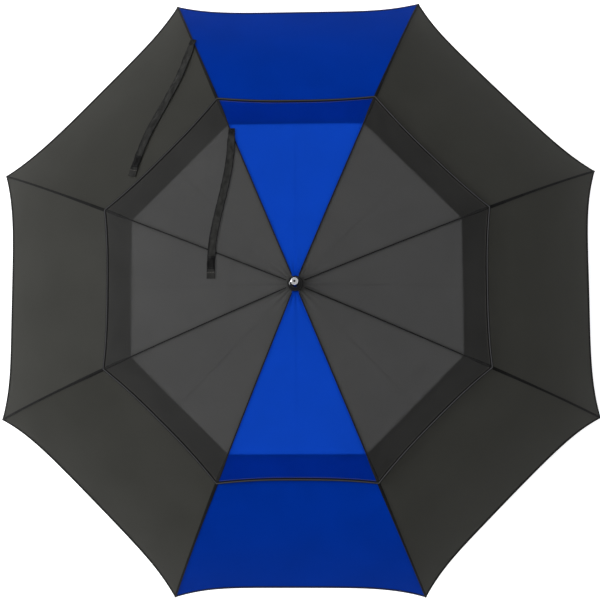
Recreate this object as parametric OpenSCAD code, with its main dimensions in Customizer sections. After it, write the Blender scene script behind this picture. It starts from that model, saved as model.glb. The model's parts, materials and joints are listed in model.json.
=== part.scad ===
// Golf umbrella with a vented double canopy, drawn open.
// +Z runs up the shaft and the origin is the centre of the hand grip.
// Rib 1 points 22.5 degrees from +X, and the others follow counter-clockwise.

/* [Overall] */
// Height of the ribs' pivots above the middle of the grip
notch_z = 900; // [860:5:920]
// Length of a rib along its curve
rib_length = 750; // [740:1:760]
// Slope of a rib below horizontal at its root, in degrees
root_slope = 7; // [6:0.5:8]
// Slope of a rib where its tapered end begins, in degrees
joint_slope = 22; // [21:0.5:23]
// Slope of a rib at its tip, in degrees
tip_slope = 48; // [46:0.5:50]

/* [Frame] */
// Outer diameter of the shaft tube
shaft_d = 14; // [14:0.5:14]
// Wall of the shaft tube
shaft_wall = 3; // [2.8:0.1:3.2]
// Radius of the circle on which the ribs and stretchers turn
pivot_r = 12; // [12:0.5:12]
// Diameter of a rib rod
rib_d = 3.6; // [3.2:0.1:3.8]
// Diameter of a rib's tapered end
rib_end_d = 3.2; // [3:0.1:3.4]
// Diameter of a stretcher rod
stretcher_d = 3.8; // [3.4:0.1:4]
// Place of the stretcher's rivet along the rib
rivet_at = 370; // [365:1:375]
// Depth of the stretcher's rivet below the rib's axis
rivet_drop = 6.5; // [6.3:0.1:7]
// Place along the rib where its tapered end begins
rib_joint_at = 450; // [445:1:455]

/* [Canopy] */
// Thickness of the cloth solids
cloth = 0.8; // [0.6:0.1:1]
// Gap between the cloth and the rib's axis
cloth_lift = 2.7; // [2.6:0.1:3]
// Place along the rib of the lower canopy's inner edge
vent_opening_at = 347; // [335:1:355]
// Place along the rib of the upper canopy's hem
vent_hem_at = 411; // [400:1:420]
// Height of the upper hem above the rib
vent_rise = 7; // [6:0.5:9]
// Inward curve of the lower hem between two ribs
scallop = 37; // [30:1:45]
// Inward curve of the upper hem between two ribs
vent_scallop = 10; // [5:1:14]
// Width of a tie strap
strap_w = 20; // [18:1:24]
// Thickness of a tie strap
strap_t = 1.2; // [1:0.1:1.5]

/* [Handle and crown] */
// Diameter of the foam grip
grip_d = 32; // [30:0.5:34]
// Length of the foam grip
grip_length = 160; // [150:5:165]
// Diameter of the crown cap
cap_d = 29; // [28.5:0.5:31]
// Height of the ferrule above the crown cap
ferrule_length = 46; // [42:1:50]
// Diameter of the ferrule
ferrule_d = 14; // [13.6:0.1:14]

/* [Hidden] */
rib_count = 8;
ribs = [1 : rib_count];
step = 360 / rib_count;
half = step / 2;
$fn = 64;

shaft_r = shaft_d / 2;
bore_r = shaft_r - shaft_wall;
neck_r = shaft_r - 1.5;
slide_gap = 0.08;
wire_r = 0.8;
eye_hole_r = 0.9;
eye_r = 2.4;
eye_t = 2;
slot_w = 2.6;
hub_r = 16;
hub_t = 10;
hub_neck = 10;
slot_floor_r = 9.2;
rivet_r = 1.2;
rivet_head_r = 1.9;
rivet_head_t = 0.7;
lug_t = 2.4;
fork_t = 1.4;
fork_gap = 3;
lug_r = 2.3;
socket_r = 2.7;
socket_depth = 3;

// Rib curve: an inner arc from the notch to the joint and a tighter outer arc to the tip.
inner_rho = rib_joint_at * 180 / (PI * (joint_slope - root_slope));
outer_rho = (rib_length - rib_joint_at) * 180 / (PI * (tip_slope - joint_slope));
function slope(s) = s < rib_joint_at
    ? root_slope + s * 180 / (PI * inner_rho)
    : joint_slope + (s - rib_joint_at) * 180 / (PI * outer_rho);
function inner_x(a) = pivot_r + inner_rho * (sin(a) - sin(root_slope));
function inner_z(a) = notch_z - inner_rho * (cos(root_slope) - cos(a));
function rib_x(s) = s < rib_joint_at
    ? inner_x(slope(s))
    : inner_x(joint_slope) + outer_rho * (sin(slope(s)) - sin(joint_slope));
function rib_z(s) = s < rib_joint_at
    ? inner_z(slope(s))
    : inner_z(joint_slope) - outer_rho * (cos(joint_slope) - cos(slope(s)));
// A point a distance above the rib, square to its curve
function over_x(s, lift) = rib_x(s) + lift * sin(slope(s));
function over_z(s, lift) = rib_z(s) + lift * cos(slope(s));

// The stretcher is as long as the rib's reach to the rivet, so the runner stays on the shaft as it folds.
rivet_x = over_x(rivet_at, -rivet_drop);
rivet_z = over_z(rivet_at, -rivet_drop);
runner_z = 2 * rivet_z - notch_z;
stretcher_slope = atan2(rivet_z - runner_z, rivet_x - pivot_r);
stretcher_length = norm([rivet_x - pivot_r, rivet_z - runner_z]);

// Closed: the runner's pivots stand this far down the shaft.
closed_runner_z = 166;
runner_below = 62;
runner_r = shaft_r + 2.8;
grip_bottom = -grip_length / 2;
grip_top = grip_length / 2;
end_cap_t = 3;
core_r = shaft_r + 3;
shaft_seat = 6;
collar_h = 14;
catch_h = 16;
catch_r = shaft_r - 1.2;
groove_r = shaft_r - 0.7;
latch_below = 40;
latch_t = 2;
latch_room = latch_t + 0.6;
latch_free_r = shaft_r + 0.15;
plate_r = 10.2;
housing_r = 14;
button_r = 5;
button_seat = 10.8;
button_travel = 1.5;
stem_w = 6;
washer_z = notch_z + hub_t / 2;
washer_r = hub_r - 2;
cap_z = washer_z + 4.6;
cap_h = 8.8;
cap_brim = 1.6;
ferrule_base_z = cap_z + cap_h;
ferrule_top_z = ferrule_base_z + ferrule_length;
tip_h = 8;
tip_hole_r = 2.2;
tip_hole_depth = 5;
shaft_top_z = ferrule_base_z + 12;
seam_gap = 0.02;
gore_across = 8;
crown_rise = 4.6;
crown_reach = 16;
rise_from = 250;
strap_clear = 2.4;

cloth_black = [0.23, 0.23, 0.22];
cloth_blue = [0.02, 0.2, 0.62];
metal = [0.75, 0.76, 0.78];
plastic = [0.06, 0.06, 0.065];
fibre = [0.1, 0.1, 0.1];
foam = [0.09, 0.09, 0.095];

module at_rib(k) {
    rotate([0, 0, half + (k - 1) * step]) children();
}

// Draws along +X in the rib's plane, which is the XZ plane here.
module in_plane(width) {
    rotate([90, 0, 0]) translate([0, 0, -width / 2]) linear_extrude(width) children();
}

// A rod along one arc of the rib, between two places on its curve
module arc_rod(rho, centre_x, centre_z, from_slope, to_slope, r) {
    translate([centre_x, 0, centre_z]) rotate([-90, 0, 0]) rotate([0, 0, from_slope - 90])
        rotate_extrude(angle = to_slope - from_slope, $fn = 360) translate([rho, 0]) circle(r, $fn = 24);
}

module inner_rod(from, to, r) {
    arc_rod(inner_rho, pivot_r - inner_rho * sin(root_slope), notch_z - inner_rho * cos(root_slope),
        slope(from), slope(to), r);
}

module outer_rod(from, to, r) {
    arc_rod(outer_rho, rib_x(rib_joint_at) - outer_rho * sin(joint_slope),
        rib_z(rib_joint_at) - outer_rho * cos(joint_slope), slope(from), slope(to), r);
}

// Places its children on the rib's axis with +X along the rib and +Z away from the shaft side.
module on_rib(s) {
    translate([rib_x(s), 0, rib_z(s)]) rotate([0, slope(s), 0]) children();
}

// A flat eye with its hole on the ring wire and a tail towards +X
module eye(tail) {
    difference() {
        union() {
            rotate([90, 0, 0]) cylinder(r = eye_r, h = eye_t, center = true);
            translate([tail / 2, 0, 0]) cube([tail, eye_t, 2 * eye_r - 1], center = true);
        }
        rotate([90, 0, 0]) cylinder(r = eye_hole_r, h = eye_t + 2, center = true);
    }
}

module ring_wire(z) {
    translate([0, 0, z]) rotate_extrude($fn = 96) translate([pivot_r, 0]) circle(wire_r, $fn = 24);
}

// A slotted hub that holds the eyes on their ring wire
module hub(z) {
    difference() {
        translate([0, 0, z - hub_t / 2]) cylinder(r = hub_r, h = hub_t);
        for (k = ribs) at_rib(k)
            translate([slot_floor_r, -slot_w / 2, z - hub_t / 2 - 1]) cube([hub_r, slot_w, hub_t + 2]);
        translate([0, 0, z]) rotate_extrude($fn = 96) translate([pivot_r, 0]) circle(wire_r + 0.02, $fn = 24);
    }
}

module shaft() {
    color(fibre) difference() {
        union() {
            translate([0, 0, grip_bottom + shaft_seat])
                cylinder(r = shaft_r, h = ferrule_base_z - grip_bottom - shaft_seat);
            translate([0, 0, ferrule_base_z - 1]) cylinder(r = neck_r, h = shaft_top_z - ferrule_base_z + 1);
        }
        translate([0, 0, grip_bottom]) cylinder(r = bore_r, h = shaft_top_z - grip_bottom + 1);
        for (z = [runner_z, closed_runner_z]) translate([0, 0, z - latch_below - catch_h / 2])
            difference() {
                cylinder(r = shaft_r + 1, h = catch_h);
                translate([0, 0, -1]) cylinder(r = catch_r, h = catch_h + 2);
            }
    }
}

// Metal sleeves set flush in the shaft, each with a groove that the runner's latch springs into
module catch_sleeves() {
    color(metal) for (z = [runner_z, closed_runner_z]) translate([0, 0, z - latch_below]) difference() {
        translate([0, 0, -catch_h / 2]) cylinder(r = shaft_r, h = catch_h);
        translate([0, 0, -catch_h]) cylinder(r = catch_r, h = 2 * catch_h);
        translate([0, 0, -latch_room / 2]) difference() {
            cylinder(r = shaft_r + 1, h = latch_room);
            translate([0, 0, -1]) cylinder(r = groove_r, h = latch_room + 2);
        }
    }
}

module grip_core() {
    color(plastic) difference() {
        translate([0, 0, grip_bottom + end_cap_t]) cylinder(r = core_r, h = grip_length - end_cap_t);
        translate([0, 0, grip_bottom + shaft_seat]) cylinder(r = shaft_r, h = grip_length);
    }
}

module grip() {
    color(foam) difference() {
        translate([0, 0, grip_bottom + end_cap_t])
            cylinder(d = grip_d, h = grip_length - end_cap_t, $fn = 96);
        translate([0, 0, grip_bottom]) cylinder(r = core_r, h = grip_length + 1);
    }
}

module grip_end_cap() {
    edge_r = grip_d / 2 - 0.4;
    round_r = 4;
    band = 2;
    color(plastic) translate([0, 0, grip_bottom + end_cap_t]) mirror([0, 0, 1]) rotate_extrude($fn = 96)
        polygon(concat([[0, 0], [edge_r, 0]],
            [for (a = [0 : 15 : 90]) [edge_r - round_r + round_r * cos(a), band + round_r * sin(a)]],
            [[0, band + round_r]]));
}

module grip_collar() {
    foot_r = grip_d / 2 - 1;
    foot_h = 4;
    lip = 2.6;
    color(metal) translate([0, 0, grip_top]) rotate_extrude($fn = 96)
        polygon([[shaft_r, 0], [foot_r, 0], [foot_r, foot_h], [foot_r - 1.5, foot_h + 1.5],
            [shaft_r + lip, collar_h - 1], [shaft_r + lip - 1, collar_h], [shaft_r, collar_h]]);
}

module top_notch() {
    color(plastic) difference() {
        union() {
            hub(notch_z);
            translate([0, 0, notch_z - hub_t / 2 - hub_neck])
                cylinder(r = shaft_r + 1.9, h = hub_neck + 0.01);
        }
        translate([0, 0, notch_z]) cylinder(r = shaft_r, h = 2 * (hub_t + hub_neck), center = true);
    }
}

module notch_ring() {
    color(metal) ring_wire(notch_z);
}

// A coned washer on the notch, which backs the upper canopy's middle under the cap
module crown_washer() {
    rim_t = 1.1;
    top_r = 9.5;
    top_t = 3.3;
    color(plastic) translate([0, 0, washer_z]) rotate_extrude($fn = 96)
        polygon([[shaft_r, 0], [washer_r, 0], [washer_r, rim_t], [top_r, top_t], [shaft_r, top_t]]);
}

// Its brim slopes down over the canopy's middle.
module crown_cap() {
    edge_z = 2;
    color(plastic) translate([0, 0, cap_z]) rotate_extrude($fn = 96)
        polygon(concat([[shaft_r, 0], [shaft_r + 2.5, 0], [cap_d / 2 - 0.6, -cap_brim],
            [cap_d / 2, 0.8 - cap_brim]],
            [for (a = [0 : 10 : 50]) [cap_d / 2 * cos(a), edge_z + (cap_h - edge_z) * sin(a)]],
            [[shaft_r + 0.8, cap_h], [shaft_r, cap_h]]));
}

module ferrule() {
    flare = 2.6;
    color(plastic) difference() {
        translate([0, 0, ferrule_base_z]) rotate_extrude($fn = 96)
            polygon([[0, 0], [ferrule_d / 2 + flare, 0], [ferrule_d / 2 + flare, 1.6],
                [ferrule_d / 2 + 1, 3], [ferrule_d / 2, 5], [ferrule_d / 2, ferrule_length - tip_h],
                [0, ferrule_length - tip_h]]);
        translate([0, 0, ferrule_base_z - 1]) cylinder(r = neck_r, h = shaft_top_z - ferrule_base_z + 1);
    }
}

module ferrule_tip() {
    color(metal) difference() {
        translate([0, 0, ferrule_top_z - tip_h]) rotate_extrude($fn = 96)
            polygon(concat([[0, 0], [ferrule_d / 2, 0]],
                [for (a = [0 : 15 : 90]) [ferrule_d / 2 - 2 + 2 * cos(a), tip_h - 2 + 2 * sin(a)]],
                [[0, tip_h]]));
        translate([0, 0, ferrule_top_z - tip_hole_depth]) cylinder(r = tip_hole_r, h = tip_hole_depth + 1);
    }
}

// One moulding: the slotted hub, the sleeve on the shaft, a finger flange and the housing of the latch
module runner() {
    flare_h = 5;
    flange_r = 15;
    housing_h = 12;
    housing_taper = 3;
    boss_from = 8;
    boss_l = 7.5;
    latch_z = runner_z - latch_below;
    color(plastic) difference() {
        union() {
            hub(runner_z);
            translate([0, 0, runner_z - runner_below]) cylinder(r = runner_r, h = runner_below);
            translate([0, 0, runner_z - hub_t / 2 - flare_h])
                cylinder(r1 = runner_r, r2 = hub_r - 1, h = flare_h);
            translate([0, 0, runner_z - runner_below]) rotate_extrude()
                polygon([[shaft_r + 1, 0], [flange_r - 1, 0], [flange_r, 1.2], [flange_r, 2.8],
                    [flange_r - 2, 5], [runner_r, 12], [shaft_r + 1, 12]]);
            translate([0, 0, latch_z]) rotate_extrude()
                polygon([for (m = [-1, 1]) each let (
                    corners = [[shaft_r + 1, housing_h / 2 + housing_taper],
                        [runner_r, housing_h / 2 + housing_taper], [housing_r, housing_h / 2]]
                ) [for (i = m < 0 ? [0 : 2] : [2 : -1 : 0]) [corners[i][0], m * corners[i][1]]]]);
            translate([boss_from, 0, latch_z]) rotate([0, 90, 0])
                cylinder(r = button_r + 1.5, h = boss_l);
        }
        for (k = ribs) at_rib(k)
            translate([slot_floor_r, -slot_w / 2, runner_z - hub_t / 2 - 1]) cube([hub_r, slot_w, hub_t + 2]);
        translate([0, 0, runner_z - runner_below - 1])
            cylinder(r = shaft_r + slide_gap, h = runner_below + hub_t + 2);
        // Room for the latch plate and its travel
        translate([0, 0, latch_z - latch_room / 2]) {
            for (x = [0, -button_travel - 0.2])
                translate([x, 0, 0]) cylinder(r = plate_r + 0.4, h = latch_room);
            translate([0, -stem_w / 2 - 0.3, 0]) cube([housing_r, stem_w + 0.6, latch_room]);
        }
        // Room for the button's head and its spring
        translate([button_seat, 0, latch_z]) rotate([0, 90, 0]) cylinder(r = button_r + 0.3, h = boss_l);
    }
}

module runner_ring() {
    color(metal) ring_wire(runner_z);
}

// The button's head with a latch plate round the shaft.
// Pressing it moves the plate's far edge away from the groove.
module runner_button() {
    head_x = button_seat + 2.8;
    head_t = 4.2;
    color(plastic) translate([0, 0, runner_z - latch_below]) {
        difference() {
            union() {
                translate([0, 0, -latch_t / 2]) cylinder(r = plate_r, h = latch_t);
                translate([0, -stem_w / 2, -latch_t / 2]) cube([head_x, stem_w, latch_t]);
            }
            for (x = [0, button_travel / 2, button_travel]) translate([x, 0, -latch_t])
                cylinder(r = latch_free_r, h = 2 * latch_t);
        }
        translate([head_x, 0, 0]) rotate([0, 90, 0]) rotate_extrude()
            polygon([[0, 0], [button_r, 0], [button_r, head_t - 1.8], [button_r - 0.6, head_t - 0.8],
                [button_r - 2, head_t - 0.2], [0, head_t]]);
    }
}

module button_spring() {
    turns = 4;
    pitch = 0.6;
    wire = 0.2;
    coil_r = 4.3;
    color(metal) translate([button_seat + 0.1, 0, runner_z - latch_below]) rotate([0, 90, 0])
        for (i = [0 : turns - 1]) translate([0, 0, i * pitch]) rotate_extrude()
            translate([coil_r, wire]) circle(wire, $fn = 16);
}

// A rod from its root eye to the sleeve at its joint, with the saddle that carries the stretcher
module rib(k) {
    saddle = 9;
    saddle_wall = 0.7;
    socket_from = 8;
    socket_to = 22;
    end_room = 2.4;
    color(fibre) at_rib(k) {
        inner_rod(socket_from + socket_depth, rib_joint_at - end_room, rib_d / 2);
        color(metal) difference() {
            union() {
                translate([pivot_r, 0, notch_z]) rotate([0, root_slope, 0]) eye(socket_from + 1);
                inner_rod(socket_from, socket_to, socket_r);
            }
            inner_rod(socket_from + socket_depth, socket_to + 10, rib_d / 2);
        }
        color(plastic) difference() {
            union() {
                inner_rod(rivet_at - saddle, rivet_at + saddle, rib_d / 2 + saddle_wall);
                on_rib(rivet_at) in_plane(lug_t) {
                    translate([0, -rivet_drop]) circle(lug_r);
                    translate([-lug_r, -rivet_drop]) square([2 * lug_r, rivet_drop - rib_d / 2]);
                }
            }
            inner_rod(rivet_at - 2 * saddle, rivet_at + 2 * saddle, rib_d / 2);
            on_rib(rivet_at) in_plane(lug_t + 2) translate([0, -rivet_drop]) circle(rivet_r + 0.05);
        }
    }
}

// The tapered end of a rib, from the round-ended sleeve at its joint to the pointed cap at the rim
module rib_end(k) {
    sleeve_r = 2.1;
    sleeve_l = 9;
    socket = 2;
    bore = rib_end_d / 2 + 0.1;
    tip_from = rib_length - 12;
    tip_socket = 6;
    tip_r = 2.4;
    nose_r = 2.2;
    color(fibre) at_rib(k) {
        outer_rod(rib_joint_at + socket, tip_from + tip_socket, rib_end_d / 2);
        color(metal) on_rib(rib_joint_at) rotate([0, 90, 0]) rotate_extrude()
            polygon(concat([for (a = [-90 : 15 : 0]) sleeve_r * [cos(a), sin(a)]],
                [[sleeve_r, sleeve_l], [bore, sleeve_l], [bore, socket], [0, socket]]));
        color(plastic) on_rib(tip_from) rotate([0, 90, 0]) rotate_extrude()
            polygon(concat([[0, tip_socket], [bore, tip_socket], [bore, 0], [nose_r, 0], [tip_r, 1],
                [tip_r, tip_socket]],
                [for (a = [0 : 18 : 90]) [nose_r * cos(a), 12 - nose_r + nose_r * sin(a)]]));
    }
}

// A rod with an eye on the runner's ring wire and a riveted fork round the rib's lug
module stretcher(k) {
    rod_from = 9;
    rod_to = stretcher_length - 9;
    collar_l = 12;
    fork_w = fork_gap + 2 * fork_t;
    color(fibre) at_rib(k) translate([pivot_r, 0, runner_z]) rotate([0, -stretcher_slope, 0]) {
        color(metal) difference() {
            union() {
                eye(rod_from);
                translate([rod_from, 0, 0]) rotate([0, 90, 0]) cylinder(r = socket_r, h = collar_l);
            }
            translate([rod_from + socket_depth, 0, 0]) rotate([0, 90, 0])
                cylinder(d = stretcher_d, h = collar_l);
        }
        translate([rod_from + socket_depth, 0, 0]) rotate([0, 90, 0])
            cylinder(d = stretcher_d, h = rod_to - rod_from - 2 * socket_depth);
        color(metal) difference() {
            union() {
                translate([stretcher_length, 0, 0]) rotate([90, 0, 0])
                    cylinder(r = lug_r, h = fork_w, center = true);
                translate([rod_to - 2, -fork_w / 2, -lug_r]) cube([11, fork_w, 2 * lug_r]);
                translate([rod_to - collar_l, 0, 0]) rotate([0, 90, 0])
                    cylinder(r = fork_w / 2, h = collar_l);
            }
            translate([rod_to - socket_depth, 0, 0]) rotate([0, -90, 0])
                cylinder(d = stretcher_d, h = collar_l);
            translate([stretcher_length - 5, -fork_gap / 2, -5]) cube([10, fork_gap, 10]);
            translate([stretcher_length, 0, 0]) rotate([90, 0, 0])
                cylinder(r = rivet_r, h = 2 * fork_w, center = true);
        }
        // The rivet has a head on each side.
        color(metal) translate([stretcher_length, 0, 0]) rotate([90, 0, 0]) {
            cylinder(r = rivet_r, h = fork_w + 1, center = true);
            for (m = [0, 1]) mirror([0, 0, m]) translate([0, 0, fork_w / 2])
                cylinder(r = rivet_head_r, h = rivet_head_t);
        }
    }
}

// Cloth runs straight from rib to rib, so its radius dips by this share in the middle of a gore.
function chord_share(a) = cos(half) / cos(half - a);
// 1 on a rib, 0 half-way to the next one
function across(a) = abs(tan(half - a)) / tan(half);
function smooth(t) = t <= 0 ? 0 : t >= 1 ? 1 : t * t * (3 - 2 * t);
function hem_dip(a, depth) = depth * (1 - pow(across(a), 5));
function cloth_point(a, s, lift) = [
    over_x(s, lift) * chord_share(a) * cos(a),
    over_x(s, lift) * chord_share(a) * sin(a),
    over_z(s, lift)
];
// The upper canopy starts over the notch, lies on the ribs, and rises over the lower canopy towards its hem.
function vent_lift(s) = cloth_lift + crown_rise * exp(-s / crown_reach)
    + vent_rise * smooth((s - rise_from) / (vent_hem_at - rise_from));

// A closed cloth solid from two grids of points, the outer one first
module cloth_solid(outer, inner) {
    rows = len(outer);
    cols = len(outer[0]);
    n = rows * cols;
    function at(i, j) = i * cols + j;
    points = concat([for (row = outer) each row], [for (row = inner) each row]);
    faces = concat(
        [for (i = [0 : rows - 2], j = [0 : cols - 2]) each [
            [at(i, j), at(i, j + 1), at(i + 1, j)],
            [at(i, j + 1), at(i + 1, j + 1), at(i + 1, j)],
            [n + at(i, j), n + at(i + 1, j), n + at(i, j + 1)],
            [n + at(i, j + 1), n + at(i + 1, j), n + at(i + 1, j + 1)]
        ]],
        [for (i = [0 : rows - 2], j = [0, cols - 1], m = [0, 1])
            let (a = at(i, j), b = at(i + 1, j), flip = j > 0)
            flip ? (m == 0 ? [a, n + a, b] : [n + a, n + b, b])
                 : (m == 0 ? [a, b, n + a] : [n + a, b, n + b])],
        [for (j = [0 : cols - 2], i = [0, rows - 1], m = [0, 1])
            let (a = at(i, j), b = at(i, j + 1), flip = i > 0)
            flip ? (m == 0 ? [a, b, n + a] : [n + a, b, n + b])
                 : (m == 0 ? [a, n + a, b] : [n + a, n + b, b])]
    );
    polyhedron(points, faces);
}

// Angles from one rib to the next
function gore_angles() = [for (j = [0 : gore_across])
    seam_gap + j * (step - 2 * seam_gap) / gore_across];
function gore_colour(k) = k == 2 || k == 6 ? cloth_blue : cloth_black;

module lower_gore(k) {
    rows = 12;
    cloth_end = rib_length - 4;
    function s_at(i, a) = let (t = i / rows, end = cloth_end - hem_dip(a, scallop))
        vent_opening_at + t * (end - vent_opening_at);
    function grid(lift) = [for (i = [0 : rows]) [for (a = gore_angles()) cloth_point(a, s_at(i, a), lift)]];
    color(gore_colour(k)) at_rib(k)
        cloth_solid(grid(cloth_lift + cloth), grid(cloth_lift));
}

module vent_gore(k) {
    inner = -3.2;
    rows = [inner, 3, 9, 18, 40, 90, 160, 230, 280, 325, 365, vent_hem_at];
    function s_at(i, a) = let (end = vent_hem_at - hem_dip(a, vent_scallop))
        i == len(rows) - 1 ? end : rows[i];
    function grid(thick) = [for (i = [0 : len(rows) - 1]) [for (a = gore_angles())
        let (s = s_at(i, a)) cloth_point(a, s, vent_lift(s) + thick)]];
    color(gore_colour(k)) at_rib(k) cloth_solid(grid(cloth), grid(0));
}

// A strap that lies on the cloth beside rib 3, along a line given in that rib's frame
module strap(from, to, lift) {
    pieces = 10;
    side = [-(to[1] - from[1]), to[0] - from[0]] / norm(to - from) * strap_w / 2;
    function on_cloth(p, up) = let (
        a = atan2(p[1], p[0]),
        beside = a < 0 ? a + step : a > step ? a - step : a,
        wanted = norm(p) / chord_share(beside),
        s = place_at(wanted)
    ) [p[0], p[1], rib_z(s) + (lift(s) + up) / cos(slope(s))];
    function row(up) = [for (i = [0 : pieces]) let (p = from + (to - from) * i / pieces)
        [for (m = [-1, 0, 1]) on_cloth(p + m * side, up)]];
    color(plastic) cloth_solid(row(strap_t), row(0));
}
// The place along a rib whose radius is x
function place_at(x) = let (a = asin((x - pivot_r) / inner_rho + sin(root_slope)))
    a < joint_slope ? (a - root_slope) * PI * inner_rho / 180
    : rib_joint_at + PI * outer_rho / 180
        * (asin((x - rib_x(rib_joint_at)) / outer_rho + sin(joint_slope)) - joint_slope);

lower_strap_lift = function (s) cloth_lift + strap_clear;
vent_strap_lift = function (s) vent_lift(s) + strap_clear;

// Sewn near the rim on rib 3's seam, it lies towards rib 4 and the upper hem.
module tie_strap_outer() {
    at_rib(3) strap([566, 3], [336, 217], lower_strap_lift);
}

// Sewn half-way up the upper canopy on rib 3's seam, it lies across rib 4's seam.
module tie_strap_vent() {
    at_rib(3) strap([334, 1], [74, 144], vent_strap_lift);
}

shaft();
grip_core();
grip();
grip_end_cap();
grip_collar();
catch_sleeves();
top_notch();
notch_ring();
crown_washer();
crown_cap();
ferrule();
ferrule_tip();
runner();
runner_ring();
runner_button();
button_spring();
for (k = ribs) {
    rib(k);
    rib_end(k);
    stretcher(k);
    lower_gore(k);
    vent_gore(k);
}
tie_strap_outer();
tie_strap_vent();
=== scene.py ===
"""Golf umbrella with a vented double canopy: the looks of every piece, built around the CAD frame."""
import json
import math

import bmesh
import bpy
from mathutils import Matrix, Vector, noise


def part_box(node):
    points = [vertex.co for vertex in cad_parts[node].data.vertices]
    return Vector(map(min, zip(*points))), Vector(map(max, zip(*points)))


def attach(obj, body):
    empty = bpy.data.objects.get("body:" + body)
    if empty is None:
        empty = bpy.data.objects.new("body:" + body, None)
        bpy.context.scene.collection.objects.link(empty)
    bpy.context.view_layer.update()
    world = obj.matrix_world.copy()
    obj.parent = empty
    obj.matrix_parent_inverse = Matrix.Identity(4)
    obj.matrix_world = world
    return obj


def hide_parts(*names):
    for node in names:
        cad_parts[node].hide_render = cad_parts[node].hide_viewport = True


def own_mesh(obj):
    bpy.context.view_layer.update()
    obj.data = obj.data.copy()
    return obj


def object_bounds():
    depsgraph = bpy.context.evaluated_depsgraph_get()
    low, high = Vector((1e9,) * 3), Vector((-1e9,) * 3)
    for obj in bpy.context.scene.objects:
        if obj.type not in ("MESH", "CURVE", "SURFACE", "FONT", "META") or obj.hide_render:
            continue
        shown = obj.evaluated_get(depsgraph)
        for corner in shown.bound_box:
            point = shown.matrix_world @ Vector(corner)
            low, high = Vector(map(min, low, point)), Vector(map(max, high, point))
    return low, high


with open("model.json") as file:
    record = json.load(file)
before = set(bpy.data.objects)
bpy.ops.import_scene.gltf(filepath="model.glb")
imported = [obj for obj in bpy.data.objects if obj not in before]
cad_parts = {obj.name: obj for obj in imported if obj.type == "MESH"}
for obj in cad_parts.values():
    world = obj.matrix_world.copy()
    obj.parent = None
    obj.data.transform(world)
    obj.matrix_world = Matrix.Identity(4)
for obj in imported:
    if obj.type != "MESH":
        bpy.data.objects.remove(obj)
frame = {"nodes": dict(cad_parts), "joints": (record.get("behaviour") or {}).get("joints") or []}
cad_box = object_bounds()

# ---------------------------------------------------------------- sizes, in metres and radians
JOINTS = {joint["name"]: joint for joint in frame["joints"]}
NOTCH = JOINTS["rib_1_fold"]["pos_m"]
PIVOT_R = math.hypot(NOTCH[0], NOTCH[1])
NOTCH_Z = NOTCH[2]
GORES = 8
RIBS = range(1, GORES + 1)
GORE_STEP = math.radians(360 / GORES)
HALF_GORE = GORE_STEP / 2
BLUE_GORES = (2, 6)

# Ribs: each curves down on two arcs that meet at its break.
ROOT_SLOPE = math.radians(7)
BREAK_SLOPE = math.radians(22)
TIP_SLOPE = math.radians(48)
RIB_LENGTH = 0.750
BREAK_AT = 0.450
INNER_RHO = BREAK_AT / (BREAK_SLOPE - ROOT_SLOPE)
OUTER_RHO = (RIB_LENGTH - BREAK_AT) / (TIP_SLOPE - BREAK_SLOPE)

# Cloth: places are distances along a rib, lifts are heights above its axis.
CLOTH_THICK = 0.0005
CLOTH_LIFT = 0.0032
CLOTH_END = RIB_LENGTH - 0.004
CROWN_EDGE = -0.0025
CROWN_END = 0.120
VENT_OPENING = 0.347
VENT_HEM = 0.411
VENT_SCALLOP = 0.010
VENT_SCALLOP_POWER = 2.6
RIM_SCALLOP = 0.037
RIM_SCALLOP_POWER = 5

# The upper canopy lies on the notch, then on the ribs, and lifts off toward its hem.
NOTCH_LIFT = 0.0046
NOTCH_FADE = 0.016
VENT_RISE = 0.007
RISE_FROM = 0.325
VENT_BILLOW = 0.003
BILLOW_FROM = 0.35
RELIEF_FROM = 0.02
RELIEF_GROWS = 0.05

# The lower canopy's sag between the ribs
HEM_SAG = 0.0010
MIDDLE_SAG = 0.0026
SAG_FROM = 0.36
SAG_GROWS = 0.12
SAG_TO = 0.72
SAG_FADES = 0.10

# Pleats round the crown
PLEAT_HEIGHT = 0.0007
PLEAT_RATE = 24
PLEAT_FROM = 0.004
PLEAT_GROWS = 0.012
PLEAT_PEAK = 0.012
PLEAT_SPREAD = 0.032

# Tension folds, swells and puckers. A shift moves a pattern, so that no two gores are alike.
CORNER_FOLD_HEIGHT = 0.00055
CORNER_FOLDS = 9
CORNER_GROWS = 0.022
CORNER_FADES = 0.030
GORE_SHIFT = 1.7
SIDE_SHIFT = 2.1
SWELL_HEIGHT = 0.0012
SWELLS_ALONG = 7
SWELLS_ACROSS = 3
SWELL_SHIFT = 5.3
PUCKER_HEIGHT = 0.00022
PUCKER_RATE = 520
PUCKER_FADES = 0.010
SEAM_HOLD = 0.004
LOWER_SHIFT = 20

# How finely the cloth is divided
CROWN_ROWS = (CROWN_EDGE, 0.004, 0.010, 0.018, 0.030, 0.045, 0.060, 0.075, 0.090, 0.105, CROWN_END)
SKIRT_STEPS = 52
INNER_STEPS = 16
OUTER_STEPS = 48
VENT_COLUMNS = 22
LOWER_COLUMNS = 34
VENT_HEM_COLUMNS = 24
OPENING_COLUMNS = 20

# The angle between two faces above which their edge stays crisp
SHEET_CRISP = math.radians(60)
PART_CRISP = math.radians(40)
TURNED_CRISP = math.radians(50)
BEVEL_ANGLE = math.radians(32)


# ---------------------------------------------------------------- the ribs' line and the cloth over it
def rib_angle(k):
    """Azimuth of rib k."""
    return HALF_GORE + (k - 1) * GORE_STEP


def slope(s):
    """How far the rib dips below horizontal, a distance s along it."""
    if s < BREAK_AT:
        return ROOT_SLOPE + s / INNER_RHO
    return BREAK_SLOPE + (s - BREAK_AT) / OUTER_RHO


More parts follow.
